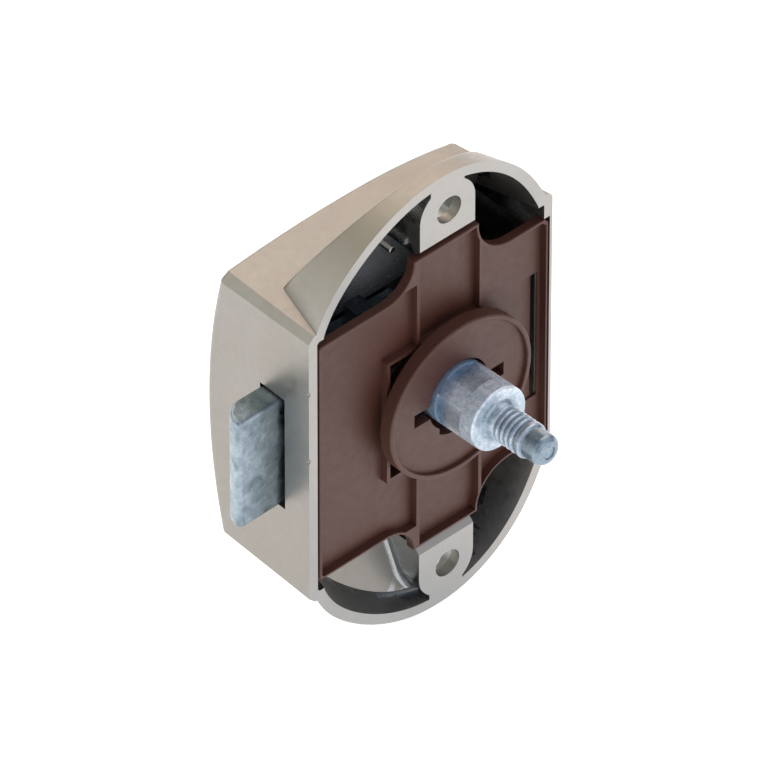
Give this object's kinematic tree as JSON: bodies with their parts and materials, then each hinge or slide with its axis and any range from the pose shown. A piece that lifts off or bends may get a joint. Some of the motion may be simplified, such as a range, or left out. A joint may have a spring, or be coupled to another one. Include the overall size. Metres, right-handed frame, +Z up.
{
  "type": "push-button rim lock",
  "caption": "Surface-mounted push-button furniture lock: cast case with flanges, plastic base plate, sprung latch bolt and a ridged spindle for a knob.",
  "frame": {"origin": "where the spindle's axis crosses the mounting face, midway between the two screw holes", "axes": "+Z up along the long side through both screw holes, -Y out of the mounting face towards the door and the knob, -X towards the strike, the way the bolt projects"},
  "size_m": [0.0512, 0.0407, 0.077],
  "materials": {
    "case_nickel": "satin nickel on zinc die casting",
    "brown_plastic": "moulded, lightly textured",
    "raw_zinc": "raw zinc die casting, mottled",
    "spring_steel": "drawn wire",
    "pin_steel": "ground steel",
    "cam_plastic": "moulded, plain"
  },
  "bodies": {
    "case": {"housing": "case_nickel", "base_plate": "brown_plastic", "guide_disc": "brown_plastic", "locating_pin": "pin_steel", "catch_wire": "spring_steel", "catch_leaf": "spring_steel"},
    "plunger": {"drive_block": "raw_zinc", "drive_pins": "pin_steel", "pivot_pin": "pin_steel", "heart_cam": "cam_plastic", "spindle_spring": "spring_steel"},
    "spindle": {"spindle": "raw_zinc"},
    "carriage": {"bolt_carriage": "raw_zinc", "spring_guide_pins": "pin_steel", "bolt_springs": "spring_steel"},
    "latch": {"latch_bolt": "raw_zinc"}
  },
  "joints": [
    {"name": "spindle_push", "type": "slide", "parent": "case", "child": "plunger", "axis": [0, -1, 0], "range_m": [0, 0.0075], "deforming": ["spindle_spring", "catch_wire"]},
    {"name": "carriage_slide", "type": "slide", "parent": "case", "child": "carriage", "axis": [1, 0, 0], "range_m": [0, 0.0075]},
    {"name": "latch_slide", "type": "slide", "parent": "carriage", "child": "latch", "axis": [1, 0, 0], "range_m": [0, 0.0075], "stiffness_N_per_m": 300, "springref_m": -0.005, "deforming": ["bolt_springs"]},
    {"name": "spindle_tilt", "type": "hinge", "parent": "plunger", "child": "spindle", "pos_m": [0, 0.009, 0], "axis": [1, 0, 0], "range_deg": [0, 3.55]}
  ],
  "couplings": [
    {"joint": "carriage_slide", "follows": "spindle_push", "ratio": 1}
  ]
}
